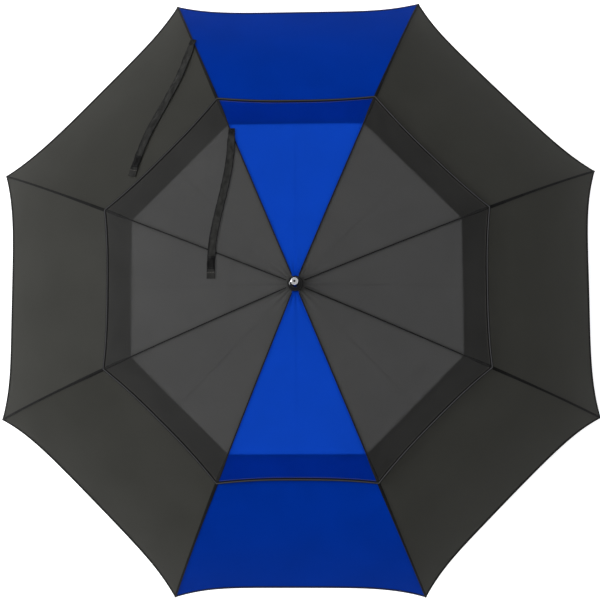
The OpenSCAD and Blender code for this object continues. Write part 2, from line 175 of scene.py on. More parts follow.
def rib_reach(s):
    """(distance from the shaft's axis, height) of the rib's axis, a distance s along it."""
    a = slope(min(s, BREAK_AT))
    x = PIVOT_R + INNER_RHO * (math.sin(a) - math.sin(ROOT_SLOPE))
    z = NOTCH_Z - INNER_RHO * (math.cos(ROOT_SLOPE) - math.cos(a))
    if s > BREAK_AT:
        a = slope(s)
        x += OUTER_RHO * (math.sin(a) - math.sin(BREAK_SLOPE))
        z -= OUTER_RHO * (math.cos(BREAK_SLOPE) - math.cos(a))
    return x, z


def turned(x, y, z, azimuth):
    """A point of a rib's own frame in the object's frame."""
    c, s = math.cos(azimuth), math.sin(azimuth)
    return Vector((x * c - y * s, x * s + y * c, z))


def above_rib(k, s, lift, aside=0.0):
    """A point square above rib k's axis by lift and beside it by aside, a distance s along it."""
    x, z = rib_reach(s)
    tilt = slope(s)
    return turned(x + lift * math.sin(tilt), aside, z + lift * math.cos(tilt), rib_angle(k))


def smooth(t):
    """A soft step from 0 to 1 while t goes from 0 to 1."""
    t = min(max(t, 0.0), 1.0)
    return t * t * (3 - 2 * t)


def across(a):
    """1 on a rib and 0 half-way to the next one, for an angle a from the gore's first rib."""
    return abs(math.tan(HALF_GORE - a)) / math.tan(HALF_GORE)


def hem_dip(a, depth, power):
    """How far a scalloped hem draws in from its line at the ribs."""
    return depth * (1 - across(a) ** power)


def vent_lift(s, a):
    """Height of the upper canopy over the rib's axis: it starts on the notch and rises to its free hem."""
    rise = VENT_RISE * smooth((s - RISE_FROM) / (VENT_HEM - RISE_FROM))
    billow = VENT_BILLOW * smooth((s - BILLOW_FROM) / (VENT_HEM - BILLOW_FROM)) * (1 - across(a) ** 2)
    return CLOTH_LIFT + NOTCH_LIFT * math.exp(-max(s, 0) / NOTCH_FADE) + rise + billow


def lower_lift(s, a):
    """The lower canopy lies on the ribs, sags a little between them, and is taut along both hems."""
    sag = HEM_SAG + MIDDLE_SAG * smooth((s - SAG_FROM) / SAG_GROWS) * smooth((SAG_TO - s) / SAG_FADES)
    return CLOTH_LIFT - sag * (1 - across(a) ** 2)


def corner_folds(a, s, corner_s, seed):
    """Tension folds that fan out from a sewn corner at each of the gore's two ribs."""
    total = 0.0
    reach = rib_reach(s)[0]
    for side, turn in ((0, a), (1, GORE_STEP - a)):
        dx, dy = s - corner_s, reach * turn
        away = math.hypot(dx, dy)
        if away < 1e-6:
            continue
        bearing = math.atan2(dy, dx)
        strength = (away / CORNER_GROWS) * math.exp(-away / CORNER_FADES)
        total += strength * math.sin(bearing * CORNER_FOLDS + seed * GORE_SHIFT + side * SIDE_SHIFT)
    return total


def cloth_relief(gore, a, s, corner_s):
    """Uneven swells and tension folds, zero on the ribs, and puckers beside the seams."""
    reach = rib_reach(s)[0]
    off_rib = 1 - across(a) ** 8
    seam_away = reach * min(a, GORE_STEP - a)
    swell = noise.noise(Vector((s * SWELLS_ALONG, a * SWELLS_ACROSS, gore * SWELL_SHIFT))) * SWELL_HEIGHT
    pucker = PUCKER_HEIGHT * math.sin(s * PUCKER_RATE + gore) * math.exp(-seam_away / PUCKER_FADES)
    folds = CORNER_FOLD_HEIGHT * corner_folds(a, s, corner_s, gore)
    return off_rib * (swell + folds) + min(seam_away / SEAM_HOLD, 1) * pucker


def cloth_point(gore, a, s, lift):
    """A point over the gore that starts at rib number gore, at an angle a from that rib."""
    tilt = slope(s)
    x, z = rib_reach(s)
    along = (x + lift * math.sin(tilt)) * math.cos(HALF_GORE) / math.cos(HALF_GORE - a)
    return turned(along * math.cos(a), along * math.sin(a), z + lift * math.cos(tilt), rib_angle(gore))


def crown_gathers(a, s):
    """Small radial pleats where the cloth is drawn in under the crown cap, zero on the ribs."""
    if s < PLEAT_FROM:
        return 0.0
    fade = math.exp(-(((s - PLEAT_PEAK) / PLEAT_SPREAD) ** 2))
    return PLEAT_HEIGHT * math.sin(PLEAT_RATE * a) * smooth((s - PLEAT_FROM) / PLEAT_GROWS) * fade


def vent_point(gore, a, s, up=0.0):
    """A point on the upper canopy, or up above it."""
    lift = vent_lift(s, a) + up + crown_gathers(a, s)
    if s > RELIEF_FROM:
        lift += cloth_relief(gore, a, s, VENT_HEM) * smooth((s - RELIEF_FROM) / RELIEF_GROWS)
    return cloth_point(gore, a, s, lift)


def lower_point(gore, a, s, up=0.0):
    """A point on the lower canopy, or up above it."""
    lift = lower_lift(s, a) + up + cloth_relief(gore + LOWER_SHIFT, a, s, CLOTH_END)
    return cloth_point(gore, a, s, lift)


def vent_end(a):
    """Where the upper canopy's hem lies, at an angle a from the gore's first rib."""
    return VENT_HEM - hem_dip(a, VENT_SCALLOP, VENT_SCALLOP_POWER)


def rim_end(a):
    """Where the rim lies, at an angle a from the gore's first rib."""
    return CLOTH_END - hem_dip(a, RIM_SCALLOP, RIM_SCALLOP_POWER)


def opening_end(_):
    """Where the lower canopy's opening lies: at one distance all the way round."""
    return VENT_OPENING


# ---------------------------------------------------------------- materials
CLOTH_THREADS = 260.0
TAPE_THREADS = 420.0
SLUB_SHARE = 0.45
SHEEN_SHARE = 0.3
ROUGHNESS_SPREAD = 0.07
LEAST_ROUGHNESS = 0.02


def grey(value):
    """A neutral colour."""
    return (value, value, value)


def new_material(name):
    """A material with an empty node tree, and that tree."""
    material = bpy.data.materials.new(name)
    material.use_nodes = True
    tree = material.node_tree
    tree.nodes.clear()
    return material, tree


def node(tree, kind, **values):
    """A shader node with its properties and sockets set. A socket's name has _ for each space."""
    made = tree.nodes.new(kind)
    for key, value in values.items():
        if hasattr(made, key):
            setattr(made, key, value)
        else:
            made.inputs[key.replace("_", " ")].default_value = value
    return made


def finish_material(tree, surface):
    """Sends a shader to the material's surface."""
    out = tree.nodes.new("ShaderNodeOutputMaterial")
    tree.links.new(surface, out.inputs["Surface"])


def tinted(tree, factor, dark, light):
    """A colour between two shades, by a 0 to 1 pattern."""
    ramp = node(tree, "ShaderNodeMix", data_type="RGBA")
    tree.links.new(factor, ramp.inputs["Factor"])
    ramp.inputs["A"].default_value = (*dark, 1)
    ramp.inputs["B"].default_value = (*light, 1)
    return ramp.outputs["Result"]


def weave_height(tree, coordinates, threads):
    """Two crossing sets of fine threads."""
    both = node(tree, "ShaderNodeMath", operation="MULTIPLY")
    for socket, direction in enumerate(("X", "Y")):
        wave = node(
            tree,
            "ShaderNodeTexWave",
            wave_type="BANDS",
            bands_direction=direction,
            Scale=threads,
            Distortion=0.4,
            Detail=1.0,
        )
        tree.links.new(coordinates, wave.inputs["Vector"])
        tree.links.new(wave.outputs["Fac"], both.inputs[socket])
    return both.outputs[0]


def pongee(name, dark, light, glow, through, gloss, tint):
    """Close-woven umbrella cloth: a soft tinted gloss above, and some light let through."""
    material, tree = new_material(name)
    link = tree.links.new
    uv = node(tree, "ShaderNodeUVMap", uv_map="cloth")
    place = node(tree, "ShaderNodeTexCoord")
    mottle = node(tree, "ShaderNodeTexNoise", Scale=9.0, Detail=6.0, Roughness=0.62)
    link(place.outputs["Object"], mottle.inputs["Vector"])
    slub = node(tree, "ShaderNodeTexNoise", Scale=420.0, Detail=2.0)
    link(uv.outputs["UV"], slub.inputs["Vector"])
    blend = node(tree, "ShaderNodeMath", operation="MULTIPLY_ADD")
    link(slub.outputs["Fac"], blend.inputs[0])
    blend.inputs[1].default_value = SLUB_SHARE
    link(mottle.outputs["Fac"], blend.inputs[2])
    spread = node(tree, "ShaderNodeMapRange", From_Min=0.45, From_Max=1.0)
    link(blend.outputs[0], spread.inputs["Value"])
    colour = tinted(tree, spread.outputs["Result"], dark, light)
    bump = node(tree, "ShaderNodeBump", Strength=0.35, Distance=0.00012)
    link(weave_height(tree, uv.outputs["UV"], CLOTH_THREADS), bump.inputs["Height"])
    swell = node(tree, "ShaderNodeBump", Strength=0.25, Distance=0.002)
    link(mottle.outputs["Fac"], swell.inputs["Height"])
    link(bump.outputs["Normal"], swell.inputs["Normal"])
    cloth = node(
        tree,
        "ShaderNodeBsdfPrincipled",
        Roughness=0.62,
        Specular_IOR_Level=gloss,
        Specular_Tint=(*tint, 1),
        Sheen_Weight=gloss * SHEEN_SHARE,
        Sheen_Roughness=0.45,
        Sheen_Tint=(*tint, 1),
    )
    link(colour, cloth.inputs["Base Color"])
    link(swell.outputs["Normal"], cloth.inputs["Normal"])
    light_through = node(tree, "ShaderNodeBsdfTranslucent", Color=(*glow, 1))
    mixed = node(tree, "ShaderNodeMixShader", Fac=through)
    link(cloth.outputs[0], mixed.inputs[1])
    link(light_through.outputs[0], mixed.inputs[2])
    finish_material(tree, mixed.outputs[0])
    return material


def grained(name, dark, light, rough, scale, depth, metallic=0.0, coat=0.0, specular=0.5, stretch=(1, 1, 1)):
    """Moulded, drawn or turned surfaces: a fine grain in colour, roughness and relief."""
    material, tree = new_material(name)
    link = tree.links.new
    place = node(tree, "ShaderNodeTexCoord")
    turn = node(tree, "ShaderNodeMapping", Scale=stretch)
    link(place.outputs["Object"], turn.inputs["Vector"])
    grain = node(tree, "ShaderNodeTexNoise", Scale=scale, Detail=5.0)
    link(turn.outputs["Vector"], grain.inputs["Vector"])
    smoothest = max(rough - ROUGHNESS_SPREAD, LEAST_ROUGHNESS)
    gloss = node(tree, "ShaderNodeMapRange", To_Min=smoothest, To_Max=rough + ROUGHNESS_SPREAD)
    link(grain.outputs["Fac"], gloss.inputs["Value"])
    bump = node(tree, "ShaderNodeBump", Strength=0.5, Distance=depth)
    link(grain.outputs["Fac"], bump.inputs["Height"])
    shader = node(
        tree,
        "ShaderNodeBsdfPrincipled",
        Metallic=metallic,
        Coat_Weight=coat,
        Coat_Roughness=0.08,
        Specular_IOR_Level=specular,
    )
    link(tinted(tree, grain.outputs["Fac"], dark, light), shader.inputs["Base Color"])
    link(gloss.outputs["Result"], shader.inputs["Roughness"])
    link(bump.outputs["Normal"], shader.inputs["Normal"])
    finish_material(tree, shader.outputs[0])
    return material


def webbing(name, dark, light, threads, depth):
    """Woven tape, with its threads in relief."""
    material, tree = new_material(name)
    link = tree.links.new
    uv = node(tree, "ShaderNodeUVMap", uv_map="cloth")
    place = node(tree, "ShaderNodeTexCoord")
    mottle = node(tree, "ShaderNodeTexNoise", Scale=90.0)
    link(place.outputs["Object"], mottle.inputs["Vector"])
    bump = node(tree, "ShaderNodeBump", Strength=0.8, Distance=depth)
    link(weave_height(tree, uv.outputs["UV"], threads), bump.inputs["Height"])
    shader = node(
        tree, "ShaderNodeBsdfPrincipled", Roughness=0.7, Sheen_Weight=0.02, Specular_IOR_Level=0.10
    )
    link(tinted(tree, mottle.outputs["Fac"], dark, light), shader.inputs["Base Color"])
    link(bump.outputs["Normal"], shader.inputs["Normal"])
    finish_material(tree, shader.outputs[0])
    return material


WHITE = grey(1)
BLUE_TINT = (0.02, 0.2, 1)
VENT_BLACK = pongee(
    "charcoal_pongee_single",
    dark=(0.0265, 0.0265, 0.0256),
    light=(0.0415, 0.0415, 0.040),
    glow=grey(0.44),
    through=0.40,
    gloss=0.10,
    tint=WHITE,
)
# Painted shade: the lower canopy has the same charcoal cloth as the upper one, but this copy is painted
# darker and lets less light through, for its steeper, less lit slope.
LOWER_BLACK_SHADED = pongee(
    "charcoal_pongee",
    dark=(0.0195, 0.0195, 0.0170),
    light=(0.0305, 0.0305, 0.0270),
    glow=(0.42, 0.42, 0.39),
    through=0.25,
    gloss=0.10,
    tint=WHITE,
)
VENT_BLUE = pongee(
    "royal_blue_pongee_single",
    dark=(0.0005, 0.030, 0.29),
    light=(0.0009, 0.043, 0.40),
    glow=(0.10, 0.31, 0.84),
    through=0.55,
    gloss=0.04,
    tint=BLUE_TINT,
)
# Painted shade: the same blue cloth as the upper canopy's, painted darker and letting less light through,
# for the lower canopy's steeper, less lit slope.
LOWER_BLUE_SHADED = pongee(
    "royal_blue_pongee",
    dark=(0.0002, 0.024, 0.250),
    light=(0.0004, 0.034, 0.345),
    glow=(0.01, 0.21, 0.65),
    through=0.40,
    gloss=0.03,
    tint=BLUE_TINT,
)
HEM_BLACK = webbing("black_hem_tape", grey(0.002), grey(0.005), TAPE_THREADS, depth=0.0001)
# Painted shade: the seams are folded from the canopy's own cloth but painted much darker than it, for the
# shadow of the rib beneath them.
LOWER_SEAM_PAINTED_SHADE = webbing("lower_seam_painted_shade", grey(0.002), grey(0.006), TAPE_THREADS, depth=0.0001)
VENT_SEAM_PAINTED_SHADE = webbing("vent_seam_painted_shade", grey(0.006), (0.013, 0.013, 0.0125), TAPE_THREADS, depth=0.0001)
HEM_NAVY = webbing("navy_hem", (0.0006, 0.004, 0.035), (0.001, 0.008, 0.065), TAPE_THREADS, depth=0.0001)
STRAP_BLACK = webbing("black_strap_tape", grey(0.001), (0.032, 0.032, 0.030), threads=180.0, depth=0.0004)
HOOK_PATCH = webbing("hook_patch", grey(0.0008), grey(0.004), threads=90.0, depth=0.0009)
PIPING_GREY = grained(
    "grey_piping",
    (0.034, 0.034, 0.036),
    (0.066, 0.066, 0.070),
    rough=0.8,
    scale=900,
    depth=0.0002,
    specular=0.2,
)
THREAD_DARK = grained(
    "dark_thread", (0.006, 0.006, 0.008), (0.018, 0.018, 0.022), rough=0.7, scale=1500, depth=0.0001
)
THREAD_GREY = grained(
    "grey_thread", (0.11, 0.10, 0.09), (0.18, 0.17, 0.155), rough=0.7, scale=1500, depth=0.0001
)
BLACK_GLOSS = grained(
    "black_gloss_moulding",
    (0.0015, 0.0015, 0.002),
    (0.003, 0.003, 0.0035),
    rough=0.16,
    scale=60,
    depth=0.00002,
    specular=0.25,
)
HUB_PLASTIC = grained(
    "black_nylon", (0.009, 0.009, 0.0095), (0.016, 0.016, 0.017), rough=0.42, scale=700, depth=0.00008
)
BUTTON_PLASTIC = grained(
    "grey_button", (0.045, 0.045, 0.048), (0.065, 0.065, 0.068), rough=0.35, scale=700, depth=0.00005
)
FIBREGLASS = grained(
    "black_fibreglass",
    (0.008, 0.008, 0.009),
    (0.020, 0.020, 0.021),
    rough=0.30,
    scale=260,
    depth=0.00006,
    coat=0.25,
)
SILVER = grained(
    "polished_silver",
    (0.74, 0.74, 0.75),
    (0.86, 0.86, 0.87),
    rough=0.22,
    scale=120,
    depth=0.00001,
    metallic=1.0,
)
SATIN_METAL = grained(
    "satin_metal",
    (0.46, 0.47, 0.49),
    (0.60, 0.61, 0.63),
    rough=0.34,
    scale=900,
    depth=0.00002,
    metallic=1.0,
    stretch=(1, 1, 0.04),
)
STEEL = grained("plain_steel", grey(0.34), grey(0.48), rough=0.38, scale=800, depth=0.00003, metallic=1.0)
GRIP_FOAM = grained("fine_foam", grey(0.009), grey(0.020), rough=0.86, scale=1300, depth=0.0004)


# ---------------------------------------------------------------- mesh helpers
def shade_smoothly(mesh):
    """Shades every face of a mesh as part of a curved surface."""
    mesh.polygons.foreach_set("use_smooth", [True] * len(mesh.polygons))


def paint(mesh, material):
    """Gives a mesh one material."""
    mesh.materials.clear()
    mesh.materials.append(material)


def add_object(name, data):
    """Puts a mesh, light or camera into the scene."""
    made = bpy.data.objects.new(name, data)
    bpy.context.scene.collection.objects.link(made)
    return made


def place_mesh(name, mesh, material):
    """A mesh as an object at the origin with its material."""
    mesh.name = name
    paint(mesh, material)
    shade_smoothly(mesh)
    return add_object(name, mesh)


def grid_sheet(name, rows, material, thick):
    """A closed sheet from rows of top points, thick metres down from them."""
    count, width = len(rows), len(rows[0])
    mesh = bpy.data.meshes.new(name)
    verts = [p for row in rows for p in row]
    faces = []
    for i in range(count - 1):
        for j in range(width - 1):
            a = i * width + j
            faces.append((a, a + width, a + width + 1, a + 1))
    mesh.from_pydata(verts, [], faces)
    layer = mesh.uv_layers.new(name="cloth")
    flat = sheet_uvs(rows)
    for loop in mesh.loops:
        layer.data[loop.index].uv = flat[loop.vertex_index]
    made = place_mesh(name, mesh, material)
    if mesh.polygons[0].normal.z < 0:
        mesh.flip_normals()
    thicken(made, thick)
    return made


def sheet_uvs(rows):
    """Distances in metres across and along the sheet, so that the weave keeps its size."""
    flat = []
    run = 0.0
    middle = len(rows[0]) // 2
    for i, row in enumerate(rows):
        if i:
            run += (row[middle] - rows[i - 1][middle]).length
        wide = 0.0
        for j, point in enumerate(row):
            if j:
                wide += (point - row[j - 1]).length
            flat.append((wide, run))
    return flat


def thicken(made, thick):
    """Gives a sheet its thickness downwards, with crisp edges, so that two sheets meet without a line."""
    solid = made.modifiers.new("thickness", "SOLIDIFY")
    solid.thickness = thick
    solid.offset = -1
    solid.use_even_offset = False
    bake_modifiers(made)
    made.data.set_sharp_from_angle(angle=SHEET_CRISP)


def bake_modifiers(made):
    """Replaces the object's mesh with the modified one and removes the modifiers."""
    bpy.context.view_layer.update()
    depsgraph = bpy.context.evaluated_depsgraph_get()
    done = bpy.data.meshes.new_from_object(made.evaluated_get(depsgraph))
    made.modifiers.clear()
    made.data = done


def outward(mesh):
    """Turns every face's front to the outside."""
    shape = bmesh.new()
    shape.from_mesh(mesh)
    bmesh.ops.recalc_face_normals(shape, faces=shape.faces)
    shape.to_mesh(mesh)
    shape.free()


def lathe(name, profile, around, closed, material):
    """A shape turned round the shaft's axis from (radius, height) points, with flat ends unless closed."""
    verts = [
        Vector((r * math.cos(2 * math.pi * j / around), r * math.sin(2 * math.pi * j / around), z))
        for r, z in profile
        for j in range(around)
    ]
    last = len(profile) - 1
    faces = []
    for i in range(len(profile) if closed else last):
        low, high = i * around, (i + 1) % len(profile) * around
        for j in range(around):
            right = (j + 1) % around
            faces.append((low + j, low + right, high + right, high + j))
    if not closed:
        faces.append(tuple(range(around)))
        faces.append(tuple(last * around + j for j in range(around)))
    mesh = bpy.data.meshes.new(name)
    mesh.from_pydata(verts, [], faces)
    outward(mesh)
    made = place_mesh(name, mesh, material)
    mesh.set_sharp_from_angle(angle=TURNED_CRISP)
    return made


# ---------------------------------------------------------------- stitches and cords along a line
def tree_along_line(name, inputs):
    """A geometry node tree that takes a line and named numbers, with its input, output and curve."""
    tree = bpy.data.node_groups.new(name, "GeometryNodeTree")
    tree.interface.new_socket("Geometry", in_out="INPUT", socket_type="NodeSocketGeometry")
    for label, kind in inputs.items():
        tree.interface.new_socket(label, in_out="INPUT", socket_type=kind)
    tree.interface.new_socket("Geometry", in_out="OUTPUT", socket_type="NodeSocketGeometry")
    given, out = tree.nodes.new("NodeGroupInput"), tree.nodes.new("NodeGroupOutput")
    line = tree.nodes.new("GeometryNodeMeshToCurve")
    tree.links.new(given.outputs["Geometry"], line.inputs["Mesh"])
    return tree, given, out, line.outputs["Curve"]


def make_stitch_tree():
    """Short thread bars along a line, each lying along it."""
    lengths = {label: "NodeSocketFloat" for label in ("Pitch", "Thread", "Stitch")}
    tree, given, out, curve = tree_along_line("stitches", lengths)
    link = tree.links.new
    points = tree.nodes.new("GeometryNodeCurveToPoints")
    points.mode = "LENGTH"
    link(curve, points.inputs["Curve"])
    link(given.outputs["Pitch"], points.inputs["Length"])
    bar = node(tree, "GeometryNodeMeshCylinder", Vertices=6)
    link(given.outputs["Thread"], bar.inputs["Radius"])
    link(given.outputs["Stitch"], bar.inputs["Depth"])
    copies = tree.nodes.new("GeometryNodeInstanceOnPoints")
    link(points.outputs["Points"], copies.inputs["Points"])
    link(bar.outputs["Mesh"], copies.inputs["Instance"])
    aim = tree.nodes.new("FunctionNodeAlignRotationToVector")
    aim.axis = "Z"
    link(points.outputs["Tangent"], aim.inputs["Vector"])
    link(aim.outputs["Rotation"], copies.inputs["Rotation"])
    real = tree.nodes.new("GeometryNodeRealizeInstances")
    link(copies.outputs["Instances"], real.inputs["Geometry"])
    link(real.outputs["Geometry"], out.inputs["Geometry"])
    return tree


def make_piping_tree():
    """A round cord along a line, with closed ends."""
    sizes = {"Radius": "NodeSocketFloat", "Sides": "NodeSocketInt"}
    tree, given, out, curve = tree_along_line("piping", sizes)
    link = tree.links.new
    ring = tree.nodes.new("GeometryNodeCurvePrimitiveCircle")
    link(given.outputs["Sides"], ring.inputs["Resolution"])
    link(given.outputs["Radius"], ring.inputs["Radius"])
    tube = node(tree, "GeometryNodeCurveToMesh", Fill_Caps=True)
    link(curve, tube.inputs["Curve"])
    link(ring.outputs["Curve"], tube.inputs["Profile Curve"])
    link(tube.outputs["Mesh"], out.inputs["Geometry"])
    return tree


STITCHES = make_stitch_tree()
PIPING = make_piping_tree()


def along_line(name, points, tree, material, **sizes):
    """Runs a node tree along a line of points and keeps the result as a plain mesh at the origin."""
    line = bpy.data.meshes.new(name)
    line.from_pydata(points, [(i, i + 1) for i in range(len(points) - 1)], [])
    made = add_object(name, line)
    modifier = made.modifiers.new(tree.name, "NODES")
    modifier.node_group = tree
    for socket in tree.interface.items_tree:
        if socket.name in sizes:
            modifier[socket.identifier] = sizes[socket.name]
    bake_modifiers(made)
    paint(made.data, material)
    shade_smoothly(made.data)
    outward(made.data)
    return made


# ---------------------------------------------------------------- how cloth follows the fold
ANCHOR_LIFT = 0.003


class FoldZone:
    """A stretch of cloth beside a rib and the body that carries it."""

    def __init__(self, body, start, end, lean, keep):
        self.body = body
        self.start = start
        self.end = end
        self.lean = math.radians(lean)
        self.keep = keep

    def fasten(self, piece, k, side):
        """Makes a piece beside rib k ride on its body."""
        (x0, z0), (x1, z1) = rib_reach(self.start), rib_reach(self.end)
        anchor = above_rib(k, (self.start + self.end) / 2, ANCHOR_LIFT)
        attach(piece, self.body.format(k))
        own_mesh(piece)


CROWN_ZONE = FoldZone("rib_{}", 0.0, CROWN_END, lean=-14, keep=0.38)
VENT_ZONE = FoldZone("rib_{}", CROWN_END, VENT_HEM, lean=-1.5, keep=0.24)
INNER_ZONE = FoldZone("rib_{}", VENT_OPENING, BREAK_AT, lean=-1, keep=0.12)
OUTER_ZONE = FoldZone("rib_end_{}", BREAK_AT, CLOTH_END, lean=5, keep=0.11)
VENT_STRAP_ZONE = FoldZone("rib_{}", CROWN_END, VENT_HEM, lean=5.5, keep=0.05)
OUTER_STRAP_ZONE = FoldZone("rib_end_{}", BREAK_AT, CLOTH_END, lean=13, keep=0.04)


# ---------------------------------------------------------------- the two canopies
def ribs_of(gore):
    """(rib, side, name) of the gore's two halves."""
    return (gore, 1, "a"), (gore % GORES + 1, -1, "b")


def half_angles(side, count):
    """Angles from the gore's first rib, for the half beside its first (side 1) or second rib (side -1)."""
    steps = [HALF_GORE * (j / count) for j in range(count + 1)]
    return steps if side > 0 else [GORE_STEP - HALF_GORE + t for t in steps]


def cloth_of(gore, blue, black):
    """The cloth and material slot of a gore."""
    return (blue, "cloth_blue") if gore in BLUE_GORES else (black, "cloth_black")


def cloth_rows(point, gore, angles, start, end, steps):
    """Rows of points down a gore, from the distance start to the distance end(angle) along its ribs."""
    return [
        [point(gore, a, start + i / steps * (end(a) - start)) for a in angles] for i in range(steps + 1)
    ]


def make_stretches(gore_name, cloth, half, stretches):
    """The pieces of cloth of one half of a gore, each fastened in its own zone."""
    material, slot = cloth
    k, side, tag = half
    for rows, zone, part in stretches:
        piece = grid_sheet(f"{gore_name}_{tag}_{part}", rows, material, CLOTH_THICK)
        zone.fasten(piece, k, side)
        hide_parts(gore_name)


def make_vent_gore(gore):
    """The upper canopy's gore: each half has a stretch round the crown and one down to the hem."""
    for half in ribs_of(gore):
        k, side, _ = half
        angles = half_angles(side, VENT_COLUMNS)
        crown = [[vent_point(gore, a, s) for a in angles] for s in CROWN_ROWS]
        skirt = cloth_rows(vent_point, gore, angles, CROWN_END, vent_end, SKIRT_STEPS)
        stretches = ((crown, CROWN_ZONE, "crown"), (skirt, VENT_ZONE, "skirt"))
        cloth = cloth_of(gore, VENT_BLUE, VENT_BLACK)
        make_stretches(f"vent_gore_{gore}", cloth, half, stretches)


def make_lower_gore(gore):
    """The lower canopy's gore: each half has a stretch on the rib and one on the rib's end."""
    for half in ribs_of(gore):
        k, side, _ = half
        angles = half_angles(side, LOWER_COLUMNS)
        inner = cloth_rows(lower_point, gore, angles, VENT_OPENING, lambda a: BREAK_AT, INNER_STEPS)
        outer = cloth_rows(lower_point, gore, angles, BREAK_AT, rim_end, OUTER_STEPS)
        stretches = ((inner, INNER_ZONE, "inner"), (outer, OUTER_ZONE, "outer"))
        cloth = cloth_of(gore, LOWER_BLUE_SHADED, LOWER_BLACK_SHADED)
        make_stretches(f"lower_gore_{gore}", cloth, half, stretches)


# ---------------------------------------------------------------- hems
def hem_line(point, gore, angles, end, out, up):
    """Points along a hem, out metres beyond the cloth's end and up metres above it."""
    return [point(gore, a, end(a) + out, up) for a in angles]


def hem_tape(name, material, line, inner, edge, up, thick):
    """A narrow tape along a hem, between two distances out from the cloth's end."""
    rows = [hem_line(*line, inner, up), hem_line(*line, edge, up)]
    return grid_sheet(name, rows, material, thick)


def fasten_trim(zone, k, side, pieces):
    """Fastens sewn trim in a zone. pieces are (piece, material slot), and the material slot is not used."""
    for piece, slot in pieces:
        zone.fasten(piece, k, side)


def make_rim_hem(gore):
    """The folded hem along the rim, with its row of stitches."""
    material = HEM_NAVY if gore in BLUE_GORES else HEM_BLACK
    for k, side, tag in ribs_of(gore):
        line = (lower_point, gore, half_angles(side, LOWER_COLUMNS), rim_end)
        name = f"rim_hem_{gore}_{tag}"
        hem = hem_tape(name, material, line, inner=-0.0055, edge=0.0006, up=0.0005, thick=0.0014)
        sewn = hem_line(*line, out=-0.0042, up=0.0006)
        name = f"rim_stitches_{gore}_{tag}"
        thread = along_line(name, sewn, STITCHES, THREAD_DARK, Pitch=0.004, Stitch=0.0026, Thread=0.00025)
        fasten_trim(OUTER_ZONE, k, side, ((hem, "thread_dark"), (thread, "thread_dark")))


def make_vent_hem(gore):
    """Dark tape round the upper canopy's hem, with a grey cord along its middle and stitches beside it."""
    for k, side, tag in ribs_of(gore):
        line = (vent_point, gore, half_angles(side, VENT_HEM_COLUMNS), vent_end)
        name = f"vent_hem_tape_{gore}_{tag}"
        tape = hem_tape(name, HEM_BLACK, line, inner=-0.0050, edge=0.0010, up=0.0006, thick=0.0016)
        laid = hem_line(*line, out=-0.0016, up=0.0009)
        cord = along_line(f"vent_hem_cord_{gore}_{tag}", laid, PIPING, PIPING_GREY, Radius=0.0010, Sides=8)
        sewn = hem_line(*line, out=-0.0064, up=0.0002)
        name = f"vent_hem_stitches_{gore}_{tag}"
        thread = along_line(name, sewn, STITCHES, THREAD_GREY, Pitch=0.0038, Stitch=0.0024, Thread=0.00022)
        trim = ((tape, "thread_dark"), (cord, "trim_grey"), (thread, "trim_grey"))
        fasten_trim(VENT_ZONE, k, side, trim)


def make_opening_hem(gore):
    """The narrow hem round the lower canopy's opening, under the upper canopy."""
    for k, side, tag in ribs_of(gore):
        line = (lower_point, gore, half_angles(side, OPENING_COLUMNS), opening_end)
        name = f"opening_hem_{gore}_{tag}"
        hem = hem_tape(name, HEM_BLACK, line, inner=0.007, edge=-0.0004, up=0.0005, thick=0.0014)
        fasten_trim(INNER_ZONE, k, side, ((hem, "thread_dark"),))


# ---------------------------------------------------------------- seams
SEAM_UP = 0.0003
SEAM_RIDGE = 0.0005
SEAM_THICK = 0.0008
SEAM_STEP = 0.006
SEAM_STITCH_UP = 0.0004
SEAM_STITCH_STEP = 0.012


def over_vent(s):
    """Where a seam on the upper canopy lies above the rib's axis."""
    return vent_lift(s, 0) + SEAM_UP


def over_lower(s):
    """Where a seam on the lower canopy lies above the rib's axis."""
    return lower_lift(s, 0) + SEAM_UP


def vent_width(s):
    """Width of the upper canopy's seam, which widens where the lower canopy starts beneath it."""
    narrow, extra, widens_from, widens_over = 0.0019, 0.0038, 0.335, 0.05
    return narrow + extra * smooth((s - widens_from) / widens_over)


def lower_width(s):
    """Width of the lower canopy's seam, which narrows outside the upper canopy's hem."""
    wide, less, narrows_from, narrows_over = 0.0062, 0.0018, 0.42, 0.15
    return wide - less * smooth((s - narrows_from) / narrows_over)


def seam_strip(name, k, start, end, up, width, body, material=LOWER_SEAM_PAINTED_SHADE):
    """The felled seam over a rib: a low ridge of folded cloth that follows the rib, painted darker than its
    cloth as painted shade of the rib beneath.
    """
    length = end - start
    steps = max(int(length / SEAM_STEP), 8)
    rows = []
    for i in range(steps + 1):
        s = start + length * i / steps
        shares = (-1, -0.5, 0, 0.5, 1)
        rows.append([above_rib(k, s, up(s) + SEAM_RIDGE * (1 - t * t), t * width(s) / 2) for t in shares])
    strip = grid_sheet(name, rows, material, SEAM_THICK)
    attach(strip, body)


def seam_stitches(name, k, start, end, up, aside, body):
    """A row of stitches on each side of a seam."""
    steps = max(int((end - start) / SEAM_STITCH_STEP), 4)
    places = [start + (end - start) * i / steps for i in range(steps + 1)]
    for side, tag in ((-1, "b"), (1, "a")):
        line = [above_rib(k, s, up(s) + SEAM_STITCH_UP, side * aside) for s in places]
        thread = along_line(
            f"{name}_{tag}", line, STITCHES, THREAD_DARK, Pitch=0.0036, Stitch=0.0023, Thread=0.00022
        )
        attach(thread, body)


